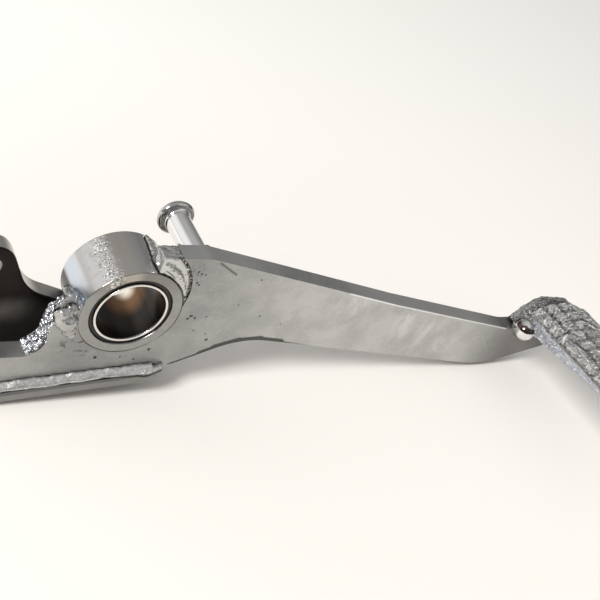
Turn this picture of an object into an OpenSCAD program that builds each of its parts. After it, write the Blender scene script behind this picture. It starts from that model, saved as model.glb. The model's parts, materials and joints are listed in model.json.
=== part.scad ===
// Rear brake pedal of a motorbike: a welded lever of flat plate on a pivot tube.
// Origin: centre of the pivot bore, in the outer face of the tube.
// +X runs forward to the foot pad, +Y points inboard along the pivot, +Z is up.
// All lengths are in millimetres, all angles in degrees.

/* [Pivot tube] */
// outside diameter of the pivot tube
tube_od = 30; // [26:0.5:36]
// length of the pivot tube along the pivot
tube_len = 17.6; // [14:0.1:30]
// bore of the thin bush that runs on the pivot shaft
bush_bore = 20; // [16:0.1:22]
// wall of the pivot bush
bush_wall = 0.7; // [0.5:0.1:1.5]
// diameter of the seal recess in each end of the tube
recess_d = 24; // [23:0.1:25.5]
// depth of the seal recess
recess_depth = 2.6; // [1.5:0.1:4]
// thickness of each dust seal
seal_t = 2; // [1:0.1:2.5]
// chamfer round the outer edge of the tube ends
tube_chamfer = 0.6; // [0:0.1:1.5]

/* [Plates] */
// thickness of the arm plate and of the lever plate
plate_t = 6; // [4:0.5:8]
// thickness of the web plate under both
web_t = 3.2; // [2:0.1:5]
// how far the web plate stands out past each plate
web_proud = 3; // [2:0.1:5]
// rise of the web plate toward the pad
web_pitch = 6.2; // [0:0.1:10]
// depth of the web's underside below the pivot
web_drop = 26.7; // [24:0.1:32]
// forward end of the web plate
web_front = 17; // [10:0.5:22]
// corner radius of the web plate, seen from above
web_corner_r = 7; // [2:0.5:9]
// rear end of the plates behind the pivot
rear_len = 44; // [42:0.5:60]

/* [Arm plate] */
// height of the top edge over the pivot
arm_top = 20; // [18:0.1:26]
// forward end of the level part of the top edge
arm_shoulder = 18.6; // [16:0.5:30]
// length of the arm from the pivot to its tip
arm_len = 178; // [165:0.5:200]
// level of the top edge at the tip, below the pivot
tip_drop = 12.2; // [6:0.1:20]
// height of the plate at its tip
tip_h = 10; // [6:0.1:16]
// place of the waist behind the arm, ahead of the pivot
waist_x = 40; // [34:0.5:60]
// depth of the waist corner below the pivot
waist_drop = 11.5; // [9:0.1:14]
// rounding of the waist
waist_r = 29; // [10:1:40]
// place of the heel, where the lower edge turns up, behind the tip
heel_x = 28.5; // [20:0.5:48]
// depth of the heel corner below the pivot
heel_drop = 31; // [24:0.1:34]
// rounding of the heel
heel_r = 42; // [10:1:60]
// depth of the scallop behind the tube, below the pivot
scallop_drop = 15.3; // [12:0.1:17]
// rear face of the horn that backs the tube
horn_x = 21.9; // [20:0.1:26]
// height of the horn where it meets the tube, over the pivot
horn_top = 2; // [0:0.1:6]

/* [Lever plate] */
// brake rod pin hole, behind the pivot
rod_hole_x = 37.2; // [34:0.1:46]
// brake rod pin hole, above the pivot
rod_hole_z = 6.4; // [2:0.1:16]
// diameter of the brake rod pin hole
rod_hole_d = 6.2; // [5:0.1:8.5]
// width of the rounded ear round the hole
ear_d = 13.8; // [12:0.1:18]
// depth of the hollow between ear and tube, below the pivot
hollow_drop = 1.8; // [0:0.1:6]
// rounding of that hollow
hollow_r = 13; // [6:1:20]

/* [Spring pin] */
// diameter of the return spring pin
pin_d = 7.5; // [6:0.1:9]
// place of the pin ahead of the pivot
pin_x = 18; // [12:0.1:40]
// place of the pin above the pivot
pin_z = 14.5; // [0:0.1:16]
// depth of the blind hole in the arm plate that holds the pin
pin_seat = 3.5; // [2:0.1:3.8]
// free length from the plate to the underside of the head
pin_reach = 17.8; // [10:0.1:30]
// diameter of the head
pin_head_d = 11.5; // [9:0.1:14]
// thickness of the domed head
pin_head_t = 3.8; // [3:0.1:5]

/* [Foot pad] */
// radius of the crowned tread over the stud tops
crown_r = 19.9; // [17:0.1:26]
// width of the pad
pad_w = 28; // [22:0.5:32]
// length of the pad from its root to its outer end
pad_len = 58; // [40:1:80]
// crown centre of the pad, behind the tip of the arm
pad_x = 8.1; // [4:0.1:14]
// crown centre below the pivot
pad_drop = 17.1; // [14:0.1:20]
// sweep of the pad back toward the rider
pad_sweep = 11.9; // [0:0.1:20]
// rise of the pad toward its outer end
pad_rise = 11.4; // [0:0.1:18]
// gap between the arm's outer face and the crown's root
pad_root = 3.5; // [2:0.1:8]
// pitch of the studs across the pad, along the crown
stud_across = 5.1; // [4:0.01:7]
// pitch of the studs along the pad
stud_along = 5.82; // [4:0.01:8]
// first line of studs, from the root of the crown
stud_first = 6.7; // [4:0.1:10]
// corner radius at the outer end
pad_corner_r = 5; // [1:0.5:8]
// depth of the grooves between the studs
groove_depth = 1.4; // [0.6:0.1:2]
// width of the grooves at the stud tops
groove_w = 2.9; // [1.5:0.1:3.8]
// thickness of the pad's side at its root
pad_side_root = 6.8; // [4:0.1:10]
// thickness of the pad's side at its outer end
pad_side_tip = 1.4; // [1:0.1:6]

/* [Welds] */
// leg of the long welds on the web
web_leg = 2.4; // [1:0.1:2.8]
// leg of the welds round the tube
tube_leg = 2.1; // [1:0.1:2.2]
// leg of the weld round the spring pin
pin_leg = 1.8; // [1:0.1:2.2]
// radius of the weld drop at the root of the pad
drop_r = 4.4; // [2:0.1:5]
// radial gap of every seated piece
seat_gap = 0.02; // [0.01:0.01:0.05]

/* [Hidden] */
$fn = 64;
eps = 0.01;
tube_r = tube_od / 2;
bush_r = bush_bore / 2 + bush_wall;
// the lever plate ends flush with the inboard end of the tube
lever_y = tube_len - plate_t;
web_y0 = -web_proud;
web_y1 = tube_len + web_proud;
web_rear = rear_len + 2;
web_top0 = -web_drop + web_t / cos(web_pitch);
slope = tan(web_pitch);
// where the upper weld's run lies round the tube
upper_toe = 68;
// bevel of the arm plate along the tube, filled by the upper weld
prep_c = [-2, 7];
prep_r = tube_r + 2.5;
// end of the drilled and filled corner over the tube
prep_left = 4.6;
ear_r = ear_d / 2;
tip_low = tip_drop + tip_h;
// heel and crown centre ahead of the pivot
heel_at = arm_len - heel_x;
pad_at = arm_len - pad_x;
// place of the weld drop under the rear corner of the pad
drop_at = pad_at - 0.71 * pad_w / 2;
drop_out = 1.8;
// the top edge bends gently where the arm is half way to its tip
bend_at = [0.528 * arm_len, 0.8];
pad_end = pad_root + pad_len;
// arc length from the crown's middle to the edge of the pad
edge_arc = crown_r * asin(min(0.98, pad_w / 2 / crown_r)) * PI / 180;
stud_rows = floor(2 * edge_arc / stud_across);
stud_lines = floor((pad_len - stud_first) / stud_along);
edge_x = (crown_r - groove_depth) * sin(edge_arc / crown_r * 180 / PI);
crown_edge = (crown_r - groove_depth) * cos(edge_arc / crown_r * 180 / PI);
// height of the web's upper face under a point
function web_top(x) = web_top0 + slope * x;

// points of an arc that rounds corner b between a and c with radius r
function unit(v) = v / norm(v);
function corner(a, b, c, r, n = 12) =
    let (u = unit([a[0] - b[0], a[1] - b[1]]), v = unit([c[0] - b[0], c[1] - b[1]]))
    let (half = acos(max(-1, min(1, u * v))) / 2, t = r / tan(half))
    let (m = unit(u + v), o = [b[0], b[1]] + m * (r / sin(half)))
    let (p = [b[0], b[1]] + u * t - o, q = [b[0], b[1]] + v * t - o)
    let (a0 = atan2(p[1], p[0]), a1 = atan2(q[1], q[0]))
    let (d = a1 - a0 > 180 ? a1 - a0 - 360 : a1 - a0 < -180 ? a1 - a0 + 360 : a1 - a0)
    [for (i = [0:n]) o + r * [cos(a0 + d * i / n), sin(a0 + d * i / n)]];
// outline through points [x, z, radius], each corner rounded by its own radius
function outline(p) = [for (i = [0:len(p) - 1])
    let (a = p[(i + len(p) - 1) % len(p)], b = p[i], c = p[(i + 1) % len(p)])
    each (b[2] > 0 ? corner(a, b, c, b[2]) : [[b[0], b[1]]])];

// a flat plate from an X-Z outline, from y0 inboard by t
module plate(y0, t) {
    translate([0, y0 + t, 0]) rotate([90, 0, 0]) linear_extrude(t) children();
}

// a ring about the pivot with a section of radius and inboard place
module pivot_ring(from = 0, to = 360) {
    rotate([90, 0, 0]) mirror([0, 0, 1]) rotate([0, 0, from])
        rotate_extrude(angle = to - from) children();
}

// outer plate: rear cheek, horn and the long arm that narrows to its tip
module arm_profile() {
    polygon(outline([
        [-rear_len, web_top(-rear_len), 0],
        [-rear_len, -scallop_drop, 3],
        [-horn_x, -scallop_drop, 6],
        [-horn_x, horn_top - 5.4, 1],
        [-horn_x + 3.5, horn_top - 0.2, 1.5],
        [-tube_r + 2.5, horn_top + 1.8, 0],
        [0, 0, 0],
        [prep_left, tube_r - 1, 0],
        [prep_left, arm_top, 0],
        [arm_shoulder, arm_top, 14],
        [bend_at[0], bend_at[1], 120],
        [heel_at + 2, -tip_drop, 14],
        [arm_len, -tip_drop, 3],
        [arm_len, -tip_low, 2],
        [heel_at, -heel_drop, heel_r],
        [waist_x, -waist_drop, waist_r],
        [web_front + 2, web_top(web_front) + 0.4, 2],
        [web_front - 2, web_top(web_front - 2), 0]]));
}
// the same, cut to the tube and bevelled along it for the upper weld
module arm_prepared() {
    difference() {
        arm_profile();
        circle(tube_r + seat_gap);
        intersection() {
            translate(prep_c) circle(prep_r);
            translate([0, 2]) square([40, 40]);
        }
    }
}
module arm_plate() {
    color([0.72, 0.73, 0.74]) difference() {
        plate(0, plate_t) arm_prepared();
        plate(plate_t - pin_seat, pin_seat + eps) translate([pin_x, pin_z]) circle(pin_d / 2 + seat_gap);
    }
}

// inner plate with the ear for the brake rod pin
module lever_plate() {
    hole = [-rod_hole_x, rod_hole_z];
    color([0.66, 0.66, 0.67]) difference() {
        plate(lever_y, plate_t) polygon(outline(concat(
            [[hole[0] - ear_r, web_top(hole[0] - ear_r), 0]],
            [for (a = [180:-9:27]) [hole[0] + ear_r * cos(a), hole[1] + ear_r * sin(a), 0]],
            [[hole[0] + ear_r + 4.4, -hollow_drop, hollow_r],
            [-tube_r + 2.5, -hollow_drop - 5.3, 0],
            [tube_r - 6, -tube_r + 4, 0],
            [web_front - 5, -tube_r, 3],
            [web_front - 3, web_top(web_front - 3), 0]])));
        plate(lever_y - eps, plate_t + 2 * eps) circle(tube_r + seat_gap);
        plate(lever_y - eps, plate_t + 2 * eps) translate(hole) circle(rod_hole_d / 2);
    }
}

// bottom plate that joins the two, with rounded forward corners
module web_plate() {
    long = (web_rear + web_front) / cos(web_pitch);
    color([0.6, 0.6, 0.6])
    translate([-web_rear, 0, -web_drop - slope * web_rear]) rotate([0, -web_pitch, 0])
    linear_extrude(web_t) difference() {
        translate([0, web_y0]) square([long, web_y1 - web_y0]);
        for (s = [0, 1]) translate([long - web_corner_r, s == 0 ? web_y0 + web_corner_r : web_y1 - web_corner_r])
            mirror([0, 1 - s]) difference() {
                square(web_corner_r + 1);
                circle(web_corner_r);
            }
    }
}

// turned tube with a seal recess in each end
module pivot_tube() {
    r0 = bush_r + seat_gap;
    color([0.7, 0.7, 0.71]) pivot_ring() polygon([
        [r0, recess_depth], [recess_d / 2, recess_depth], [recess_d / 2, 0],
        [tube_r - tube_chamfer, 0], [tube_r, tube_chamfer],
        [tube_r, tube_len - tube_chamfer], [tube_r - tube_chamfer, tube_len],
        [recess_d / 2, tube_len], [recess_d / 2, tube_len - recess_depth],
        [r0, tube_len - recess_depth]]);
}
module pivot_bush() {
    color([0.55, 0.47, 0.36]) pivot_ring()
        translate([bush_bore / 2, 0]) square([bush_wall, tube_len]);
}
module dust_seal(y0) {
    color([0.1, 0.1, 0.1]) pivot_ring() translate([bush_r + seat_gap, y0])
        square([recess_d / 2 - bush_r - 2 * seat_gap, seal_t]);
}
module outer_dust_seal() { dust_seal(recess_depth - seal_t); }
module inner_dust_seal() { dust_seal(tube_len - recess_depth); }

// headed pin for the return spring, seated in the arm plate and welded round
module spring_pin() {
    head_r = pin_head_d / 2;
    y1 = plate_t + pin_reach;
    rim = 1.1;
    dome = head_r - rim;
    color([0.78, 0.78, 0.79]) translate([pin_x, 0, pin_z])
    rotate([90, 0, 0]) mirror([0, 0, 1]) rotate_extrude() polygon(concat(
        [[0, plate_t - pin_seat], [pin_d / 2, plate_t - pin_seat]],
        [for (a = [180:-18:90]) [pin_d / 2 + 0.9 + 0.9 * cos(a), y1 - 0.9 + 0.9 * sin(a)]],
        [for (a = [-80:20:20]) [dome + rim * cos(a), y1 + rim + rim * sin(a)]],
        [for (a = [30:12:78]) [head_r * cos(a), y1 + rim + 0.2 + (pin_head_t - rim - 0.2) * sin(a)]],
        [[0, y1 + pin_head_t]]));
}

// place of the pad: length along -Y, crown axis through the origin
module pad_place() {
    translate([pad_at, 0, -pad_drop]) rotate([-pad_rise, 0, -pad_sweep]) children();
}
// half width of the pad at a length, with rounded outer corners
function pad_half(l) = let (d = max(0, l - pad_end + pad_corner_r))
    pad_w / 2 - pad_corner_r + sqrt(max(0, pow(pad_corner_r, 2) - d * d * 0.8));
// level of the underside at a length
function pad_low(l) = crown_edge - pad_side_root
    + (pad_side_root - pad_side_tip) * (l - pad_root) / pad_len;
// knots along one row of studs: groove floor, start of stud, end of stud
function knots(first, pitch, n) = [for (k = [0:n - 1], e = [0:2])
    [first + k * pitch + [-pitch / 2, -(pitch - groove_w) / 2, (pitch - groove_w) / 2][e], e > 0]];
across = concat([[-edge_arc, false]], knots(-(stud_rows - 1) / 2 * stud_across, stud_across, stud_rows),
    [[stud_rows / 2 * stud_across, false], [edge_arc, false]]);
along = concat([[pad_root, false]], knots(pad_root + stud_first, stud_along, stud_lines),
    [[pad_root + stud_first + (stud_lines - 0.5) * stud_along, false], [pad_end - 1, false]]);
// section of the pad at one length: crown with studs, then the two lower edges
function pad_ring(l, on, cut = 0) = let (f = pad_half(l) * 2 / pad_w) concat(
    [for (a = across) let (t = a[0] * f / crown_r * 180 / PI, r = crown_r - cut - (on && a[1] ? 0 : groove_depth))
        [r * sin(t), -l, r * cos(t)]],
    [[edge_x * f, -l, pad_low(l) + cut], [-edge_x * f, -l, pad_low(l) + cut]]);
// cast tread: crowned bar whose grooves leave rows of studs
module pad_bar() {
    rings = concat([for (a = along) pad_ring(a[0], a[1])], [pad_ring(pad_end, false, 0.8)]);
    n = len(rings[0]);
    m = len(rings);
    polyhedron(points = [for (r = rings) each r], faces = concat(
        [[for (i = [n - 1:-1:0]) i]], [[for (i = [0:n - 1]) (m - 1) * n + i]],
        [for (j = [0:m - 2], i = [0:n - 1]) let (k = (i + 1) % n) each
            [[j * n + i, (j + 1) * n + k, (j + 1) * n + i], [j * n + i, j * n + k, (j + 1) * n + k]]]));
}
// root of the casting, led down onto the top edge of the arm
module pad_neck() {
    inset = 0.4;
    r = crown_r - groove_depth - inset;
    w = edge_x - inset;
    hull() {
        pad_place() rotate([90, 0, 0]) translate([0, 0, pad_root + 0.5]) linear_extrude(2) polygon(concat(
            [for (k = [-6:6]) [w * k / 6, sqrt(r * r - pow(w * k / 6, 2))]],
            [[w, pad_low(pad_root + 3) + inset], [-w, pad_low(pad_root + 3) + inset]]));
        plate(plate_t - 1, 1) polygon(outline([
            [heel_at + 6.6, -tip_drop, 0],
            [pad_at - 9.5, -tip_drop + 6, 3],
            [pad_at - 4, -tip_drop + 10.4, 4],
            [pad_at + 11.6, -tip_drop + 9.4, 3.5],
            [pad_at + 12.2, -tip_drop, 0]]));
    }
}
module foot_pad() {
    color([0.6, 0.61, 0.63]) {
        pad_place() pad_bar();
        pad_neck();
    }
}

// long fillet welds between the web and the two plates
module web_bead(from, to) {
    translate([from, 0, web_top(from)]) rotate([0, -web_pitch, 0]) rotate([90, 0, 90])
        linear_extrude((to - from) / cos(web_pitch)) children();
}
module bead_section(leg) {
    polygon(concat([[0, 0]], [for (a = [0:15:90]) leg * (0.92 + 0.08 * abs(cos(2 * a))) * [-cos(a), sin(a)]]));
}
module web_weld_outer() {
    color([0.68, 0.68, 0.68]) web_bead(-rear_len, web_front - 4.5) bead_section(web_leg);
}
module web_weld_inner() {
    color([0.68, 0.68, 0.68]) web_bead(-rod_hole_x - ear_r, web_front - 9)
        translate([tube_len, 0]) mirror([1, 0]) bead_section(web_leg);
}

// tapered run of weld along the tube's side at an angle, ending in a rounded tip
module side_bead(turn, y0, y1, r0, r1) {
    rotate([0, -turn, 0]) translate([tube_r + 0.3, y0, 0]) rotate([-90, 0, 0]) {
        cylinder(h = y1 - y0, r1 = r0, r2 = r1);
        translate([0, 0, y1 - y0]) sphere(r1, $fn = 32);
    }
}
// weld that fills the bevel between tube and arm, and runs out along the tube
module tube_weld_upper() {
    color([0.7, 0.7, 0.7]) difference() {
        union() {
            plate(0.25, plate_t - 0.25) intersection() {
                translate(prep_c) circle(prep_r - seat_gap);
                translate([prep_left - 0.6, 2]) square([20, arm_top - 2.1]);
            }
            side_bead(upper_toe, plate_t - 1.5, tube_len - 1.5, 2, 0.7);
        }
        plate(-eps, tube_len + 1) circle(tube_r + seat_gap);
        plate(-eps, plate_t + 2 * eps) arm_prepared();
    }
}
// ring section of a fillet weld on the tube, against a face at y
module ring_bead(y, leg, way) {
    translate([tube_r + seat_gap, y]) polygon([[0, 0], [leg, 0], [0.45 * leg, way * 0.4 * leg], [0, way * leg]]);
}
module tube_weld_inboard() {
    color([0.7, 0.7, 0.7]) pivot_ring(-60, 72) ring_bead(plate_t, tube_leg, 1);
}
module lever_tube_weld() {
    color([0.7, 0.7, 0.7]) pivot_ring(200, 330) ring_bead(lever_y, tube_leg, -1);
}
// lumpy weld between the horn and the tube, led over the horn and along the tube's side
module tube_weld_rear() {
    weld_from = 178;
    weld_to = 188;
    lump_r = 3.2;
    color([0.7, 0.7, 0.7]) difference() {
        union() {
            pivot_ring(weld_from, weld_to) translate([tube_r + 2.9, 1]) circle(lump_r, $fn = 24);
            for (a = [weld_from, weld_to]) rotate([0, -a, 0])
                translate([tube_r + 2.9, 1, 0]) sphere(lump_r, $fn = 32);
            side_bead(weld_from - 7, 1, plate_t + 1.4, 2.3, 1.8);
            side_bead(weld_from + 5, plate_t - 1, 11, 2.3, 0.9);
        }
        plate(-6, tube_len + 6) circle(tube_r + seat_gap);
        plate(-eps, plate_t + 2 * eps) arm_profile();
    }
}
module spring_pin_weld() {
    color([0.7, 0.7, 0.7]) translate([pin_x, plate_t, pin_z]) rotate([90, 0, 0]) mirror([0, 0, 1])
        rotate_extrude() translate([pin_d / 2 + seat_gap, 0])
        polygon([[0, 0], [pin_leg, 0], [0.45 * pin_leg, 0.4 * pin_leg], [0, pin_leg]]);
}
// polished drop of weld where the pad's root meets the arm
module pad_weld() {
    color([0.8, 0.8, 0.8]) difference() {
        union() {
            translate([drop_at, -drop_out, -tip_drop]) sphere(drop_r);
            translate([drop_at, -0.3, -tip_drop]) rotate([0, 90, 0])
                cylinder(r = drop_r / 2.6, h = pad_at + pad_w / 2 - drop_at);
        }
        plate(0, plate_t) arm_profile();
        pad_neck();
        pad_place() translate([-pad_w, -pad_end, pad_low(pad_root) - seat_gap])
            cube([2 * pad_w, pad_len, crown_r]);
    }
}

arm_plate();
lever_plate();
web_plate();
pivot_tube();
pivot_bush();
outer_dust_seal();
inner_dust_seal();
spring_pin();
foot_pad();
web_weld_outer();
web_weld_inner();
tube_weld_upper();
tube_weld_rear();
tube_weld_inboard();
lever_tube_weld();
spring_pin_weld();
pad_weld();
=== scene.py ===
# Looks of a used, plated rear brake pedal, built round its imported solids.
import json
import math

import bmesh
import bpy
from mathutils import Matrix, Vector, noise


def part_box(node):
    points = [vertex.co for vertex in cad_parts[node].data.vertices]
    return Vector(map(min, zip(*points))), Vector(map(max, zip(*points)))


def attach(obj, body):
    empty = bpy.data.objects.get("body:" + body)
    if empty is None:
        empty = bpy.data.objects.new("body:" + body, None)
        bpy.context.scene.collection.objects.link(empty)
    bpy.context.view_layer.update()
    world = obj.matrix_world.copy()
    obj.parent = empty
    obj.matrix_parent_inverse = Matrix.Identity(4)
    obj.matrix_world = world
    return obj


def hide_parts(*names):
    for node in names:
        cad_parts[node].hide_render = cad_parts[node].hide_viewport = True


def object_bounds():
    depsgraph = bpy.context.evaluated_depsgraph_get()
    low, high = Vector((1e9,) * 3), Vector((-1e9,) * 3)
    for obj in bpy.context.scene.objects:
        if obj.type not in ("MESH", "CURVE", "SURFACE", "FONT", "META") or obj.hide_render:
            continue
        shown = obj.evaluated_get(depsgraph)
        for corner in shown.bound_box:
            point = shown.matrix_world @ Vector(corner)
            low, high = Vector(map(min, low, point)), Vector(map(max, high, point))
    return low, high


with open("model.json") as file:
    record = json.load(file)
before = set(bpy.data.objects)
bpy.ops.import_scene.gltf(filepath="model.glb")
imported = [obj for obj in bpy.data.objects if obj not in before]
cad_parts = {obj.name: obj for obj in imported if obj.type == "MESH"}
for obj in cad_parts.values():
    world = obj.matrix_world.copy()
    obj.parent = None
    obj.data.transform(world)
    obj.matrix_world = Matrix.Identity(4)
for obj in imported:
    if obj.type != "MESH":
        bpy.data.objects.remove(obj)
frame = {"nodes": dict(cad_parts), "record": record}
cad_low, cad_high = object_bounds()
nodes = frame["nodes"]

# One millimetre in the frame's metres; sizes below are in millimetres unless a name says otherwise
MM = 0.001

# Camera: where it stands, which way it looks, and how far it is rolled
CAMERA_PLACE = Vector((-112.7, -182.2, 178.75)) * MM
CAMERA_AZIMUTH = 42.42
CAMERA_ELEVATION = -35.29
CAMERA_ROLL = -26.8
CAMERA_LENS = 60.0
CAMERA_FILM = 36.0
# nearest distance that it sees, in metres
CAMERA_NEAR = 0.01

# Room brightness by the height of the direction (0 level, 1 overhead), and the room's tint
ROOM_LEVELS = ((0.0, 0.16), (0.45, 0.27), (0.62, 0.36), (0.80, 0.47), (0.999, 0.55))
ROOM_TINT = (1.0, 0.99, 0.975)
# Broad glows in the room, as of windows: direction, where they start and end to fade, and colour
GLOWS = (((-0.70, 0.60, 0.40), (0.80, 0.99), (0.99, 0.98, 0.97)),
         ((0.55, -0.58, 0.60), (0.86, 0.97), (0.85, 0.84, 0.82)))
# The lamp: its place, what it is aimed at and its width in metres, and its power in watts
LAMP_PLACE = Vector((-1.52, -0.50, 1.32))
LAMP_AIM = Vector((0.06, 0, 0))
LAMP_SIZE = 0.56
LAMP_POWER = 45.5
LAMP_COLOUR = (1.0, 0.98, 0.95)
# The floor: how far it reaches each way, in metres, and how far under the pedal it lies
FLOOR_REACH = 12.0
FLOOR_GAP = 0.2

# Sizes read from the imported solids
tube_low, tube_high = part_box("pivot_tube")
TUBE_R = (tube_high.x - tube_low.x) / 2 / MM
TUBE_LEN = tube_high.y / MM
bush_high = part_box("pivot_bush")[1]
BUSH_R = bush_high.x / MM
seal_low, seal_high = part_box("outer_dust_seal")
SEAL_R = seal_high.x / MM
SEAL_Y0, SEAL_Y1 = seal_low.y / MM, seal_high.y / MM
inner_low, inner_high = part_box("inner_dust_seal")
mounts = {mount["name"]: mount["dims"] for mount in frame["record"]["mounts"]}
BORE_R = mounts["pivot_bore"]["r_mm"]
PIN_R = mounts["spring_pin"]["r_mm"]
pin_low, pin_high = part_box("spring_pin")
PIN_X = (pin_low.x + pin_high.x) / 2 / MM
PIN_Z = (pin_low.z + pin_high.z) / 2 / MM
PIN_HEAD_R = (pin_high.x - pin_low.x) / 2 / MM
PIN_START = pin_low.y / MM
PIN_END = pin_high.y / MM
PLATE_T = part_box("arm_plate")[1].y / MM
web_low, web_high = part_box("web_plate")
# the web's upper face: how steeply it rises toward the front, and its level under the pivot
WEB_PITCH = math.tan(math.radians(6.2))
WEB_TOP_0 = (web_high.z - WEB_PITCH * web_high.x) / MM

# Other sizes: the pin's head, and the radial room that seated pieces keep
PIN_HEAD_T = 3.8
SEAT_ROOM = 0.02
# The foot pad: its middle, how it is turned and tilted, and how far its studs' floor is from its axis
PAD_MIDDLE = Vector((169.9, 0, -17.1))
PAD_TURN = math.radians(-11.9)
PAD_TILT = math.radians(-11.4)
PAD_FLOOR_R = 18.5
# Middle of the weld drop at the pad's rear corner
DROP_PLACE = (153.6, -5.2, -7.9)

# Mesh work: how near doubles are, how flat joined faces are, and which edges get rounded
DOUBLES = 0.003 * MM
POLE_DOUBLES = 0.001 * MM
FLAT = math.radians(0.6)
SHARP = math.radians(35)
EVEN_NORMALS = ("WEIGHTED_NORMAL", {"keep_sharp": False})
# Size of the fine grit on weld metal
GRIT_SIZE = 0.45

# Shapes of painted marks: round, and the share of a stroke's width that is fully there
ROUND = (1, 1, 1)
SOFT = 0.35


# Node helpers

class Wiring:
    """A node tree, with short ways to add nodes and to work out values with them."""

    def __init__(self, tree):
        self.tree = tree

    def put(self, socket, value):
        """Joins a socket to another node's output, or sets it to a number, a vector or a colour."""
        if isinstance(value, bpy.types.NodeSocket):
            self.tree.links.new(value, socket)
        elif socket.type == "RGBA":
            socket.default_value = (*value, 1)
        else:
            socket.default_value = value

    def node(self, kind, inputs=None, **settings):
        """A new node, with its settings by name and its inputs by name or number."""
        node = self.tree.nodes.new(kind)
        for key, value in settings.items():
            setattr(node, key, value)
        for key, value in (inputs or {}).items():
            self.put(node.inputs[key], value)
        return node

    def math(self, operation, a, b=0.0):
        """The result of one operation on one or two values."""
        return self.node("ShaderNodeMath", {0: a, 1: b}, operation=operation).outputs[0]

    def chain(self, operation, values):
        """The values put through one operation, from the first to the last."""
        result = values[0]
        for value in values[1:]:
            result = self.math(operation, result, value)
        return result

    def times(self, *values):
        """All the values multiplied."""
        return self.chain("MULTIPLY", values)

    def plus(self, *values):
        """All the values added up."""
        return self.chain("ADD", values)

    def most(self, *values):
        """The largest of the values."""
        return self.chain("MAXIMUM", values)

    def vector(self, operation, a, b=(0, 0, 0), scale=1.0):
        """The result of one operation on vectors, which is a number for some of them."""
        second = {"Scale": scale} if operation == "SCALE" else {1: b}
        node = self.node("ShaderNodeVectorMath", {0: a, **second}, operation=operation)
        return node.outputs["Value" if operation in ("DISTANCE", "LENGTH", "DOT_PRODUCT") else "Vector"]

    def step(self, value, low, high):
        """0 below low, 1 above high, smooth between; falls instead where high is the smaller."""
        falls = high < low
        ends = {"From Min": min(low, high), "From Max": max(low, high),
                "To Min": 1.0 if falls else 0.0, "To Max": 0.0 if falls else 1.0}
        node = self.node("ShaderNodeMapRange", {"Value": value, **ends}, interpolation_type="SMOOTHSTEP")
        return node.outputs["Result"]

    def band(self, value, rise_from, rise_to, fall_from, fall_to):
        """1 in a band of values, smooth at both sides."""
        return self.times(self.step(value, rise_from, rise_to), self.step(value, fall_to, fall_from))

    def number(self, factor, low, high):
        """From low to high as the factor goes from 0 to 1."""
        node = self.node("ShaderNodeMapRange", {"Value": factor, "To Min": low, "To Max": high})
        return node.outputs["Result"]

    def colour(self, factor, low, high):
        """From one colour to another as the factor goes from 0 to 1."""
        node = self.node("ShaderNodeMix", {}, data_type="RGBA")
        for key, value in (("Factor", factor), ("A", low), ("B", high)):
            self.put(node.inputs[key], value)
        return node.outputs["Result"]

    def layers(self, base, *coats):
        """A base colour under coats, each a mask and the colour that shows where the mask is 1."""
        for mask, coat in coats:
            base = self.colour(mask, base, coat)
        return base


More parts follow.
